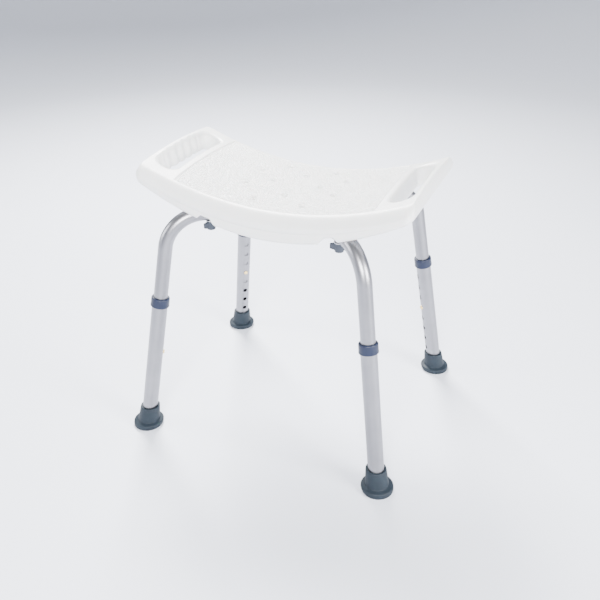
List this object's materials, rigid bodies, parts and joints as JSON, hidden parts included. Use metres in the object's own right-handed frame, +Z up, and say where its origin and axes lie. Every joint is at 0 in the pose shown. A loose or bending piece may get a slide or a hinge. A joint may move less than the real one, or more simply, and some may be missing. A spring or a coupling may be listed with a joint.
{
  "type": "shower stool",
  "caption": "White moulded shower stool with a saddle seat, end handles and drain holes on crossed aluminium tubes with button-set telescopic legs and rubber feet.",
  "frame": {"origin": "on the floor under the middle of the seat", "axes": "+X along the seat, towards the handle at the right of the picture; -Y towards the front edge nearest the camera; +Z up"},
  "size_m": [0.5194, 0.449, 0.5019],
  "materials": {
    "seat_plastic": "fine moulded texture",
    "tube_aluminium": "satin anodised",
    "collar_plastic": "satin moulded",
    "knob_plastic": "satin moulded",
    "foot_rubber": "matt",
    "button_brass": "plated",
    "fitting_steel": "zinc plated"
  },
  "bodies": {
    "frame": {"seat": "seat_plastic", "frame_tube_upper": "tube_aluminium", "frame_tube_lower": "tube_aluminium", "centre_bolt": "fitting_steel", "centre_washer": "fitting_steel", "centre_nut": "fitting_steel", "button_spring_fl": "fitting_steel", "seat_insert_fl": "button_brass", "button_spring_fr": "fitting_steel", "seat_insert_fr": "button_brass", "button_spring_bl": "fitting_steel", "seat_insert_bl": "button_brass", "button_spring_br": "fitting_steel", "seat_insert_br": "button_brass"},
    "leg_fl": {"lower_leg_fl": "tube_aluminium", "leg_collar_fl": "collar_plastic", "rubber_foot_fl": "foot_rubber", "foot_washer_fl": "fitting_steel"},
    "button_fl": {"snap_button_fl": "button_brass"},
    "washer_fl": {"knob_washer_fl": "fitting_steel"},
    "knob_fl": {"wing_knob_fl": "knob_plastic", "knob_stud_fl": "fitting_steel"},
    "leg_fr": {"lower_leg_fr": "tube_aluminium", "leg_collar_fr": "collar_plastic", "rubber_foot_fr": "foot_rubber", "foot_washer_fr": "fitting_steel"},
    "button_fr": {"snap_button_fr": "button_brass"},
    "washer_fr": {"knob_washer_fr": "fitting_steel"},
    "knob_fr": {"wing_knob_fr": "knob_plastic", "knob_stud_fr": "fitting_steel"},
    "leg_bl": {"lower_leg_bl": "tube_aluminium", "leg_collar_bl": "collar_plastic", "rubber_foot_bl": "foot_rubber", "foot_washer_bl": "fitting_steel"},
    "button_bl": {"snap_button_bl": "button_brass"},
    "washer_bl": {"knob_washer_bl": "fitting_steel"},
    "knob_bl": {"wing_knob_bl": "knob_plastic", "knob_stud_bl": "fitting_steel"},
    "leg_br": {"lower_leg_br": "tube_aluminium", "leg_collar_br": "collar_plastic", "rubber_foot_br": "foot_rubber", "foot_washer_br": "fitting_steel"},
    "button_br": {"snap_button_br": "button_brass"},
    "washer_br": {"knob_washer_br": "fitting_steel"},
    "knob_br": {"wing_knob_br": "knob_plastic", "knob_stud_br": "fitting_steel"}
  },
  "joints": [
    {"name": "leg_length_fl", "type": "slide", "parent": "frame", "child": "leg_fl", "axis": [-0.1392, -0.1181, -0.9832], "range_m": [-0.1, 0.075], "deforming": ["snap_button_fl"]},
    {"name": "button_press_fl", "type": "slide", "parent": "frame", "child": "button_fl", "axis": [-0.7498, -0.6359, 0.1826], "range_m": [0, 0.0042], "stiffness_N_per_m": 2000, "deforming": ["button_spring_fl"]},
    {"name": "knob_travel_fl", "type": "slide", "parent": "frame", "child": "washer_fl", "axis": [0, 0, -1], "range_m": [0, 0.012]},
    {"name": "knob_turn_fl", "type": "hinge", "parent": "washer_fl", "child": "knob_fl", "pos_m": [-0.11791, -0.09999, 0.405], "axis": [0, 0, -1], "range_deg": [0, 4319]},
    {"name": "leg_length_fr", "type": "slide", "parent": "frame", "child": "leg_fr", "axis": [0.1392, -0.1181, -0.9832], "range_m": [-0.1, 0.075], "deforming": ["snap_button_fr"]},
    {"name": "button_press_fr", "type": "slide", "parent": "frame", "child": "button_fr", "axis": [0.7498, -0.6359, 0.1826], "range_m": [0, 0.0042], "stiffness_N_per_m": 2000, "deforming": ["button_spring_fr"]},
    {"name": "knob_travel_fr", "type": "slide", "parent": "frame", "child": "washer_fr", "axis": [0, 0, -1], "range_m": [0, 0.012]},
    {"name": "knob_turn_fr", "type": "hinge", "parent": "washer_fr", "child": "knob_fr", "pos_m": [0.11791, -0.09999, 0.405], "axis": [0, 0, -1], "range_deg": [0, 4319]},
    {"name": "leg_length_bl", "type": "slide", "parent": "frame", "child": "leg_bl", "axis": [-0.1392, 0.1181, -0.9832], "range_m": [-0.1, 0.075], "deforming": ["snap_button_bl"]},
    {"name": "button_press_bl", "type": "slide", "parent": "frame", "child": "button_bl", "axis": [-0.7498, 0.6359, 0.1826], "range_m": [0, 0.0042], "stiffness_N_per_m": 2000, "deforming": ["button_spring_bl"]},
    {"name": "knob_travel_bl", "type": "slide", "parent": "frame", "child": "washer_bl", "axis": [0, 0, -1], "range_m": [0, 0.012]},
    {"name": "knob_turn_bl", "type": "hinge", "parent": "washer_bl", "child": "knob_bl", "pos_m": [-0.11791, 0.09999, 0.405], "axis": [0, 0, -1], "range_deg": [0, 4319]},
    {"name": "leg_length_br", "type": "slide", "parent": "frame", "child": "leg_br", "axis": [0.1392, 0.1181, -0.9832], "range_m": [-0.1, 0.075], "deforming": ["snap_button_br"]},
    {"name": "button_press_br", "type": "slide", "parent": "frame", "child": "button_br", "axis": [0.7498, 0.6359, 0.1826], "range_m": [0, 0.0042], "stiffness_N_per_m": 2000, "deforming": ["button_spring_br"]},
    {"name": "knob_travel_br", "type": "slide", "parent": "frame", "child": "washer_br", "axis": [0, 0, -1], "range_m": [0, 0.012]},
    {"name": "knob_turn_br", "type": "hinge", "parent": "washer_br", "child": "knob_br", "pos_m": [0.11791, 0.09999, 0.405], "axis": [0, 0, -1], "range_deg": [0, 4319]}
  ],
  "couplings": [
    {"joint": "knob_travel_fl", "follows": "knob_turn_fl", "m_per_rad": 0.00015915},
    {"joint": "knob_travel_fr", "follows": "knob_turn_fr", "m_per_rad": 0.00015915},
    {"joint": "knob_travel_bl", "follows": "knob_turn_bl", "m_per_rad": 0.00015915},
    {"joint": "knob_travel_br", "follows": "knob_turn_br", "m_per_rad": 0.00015915}
  ]
}
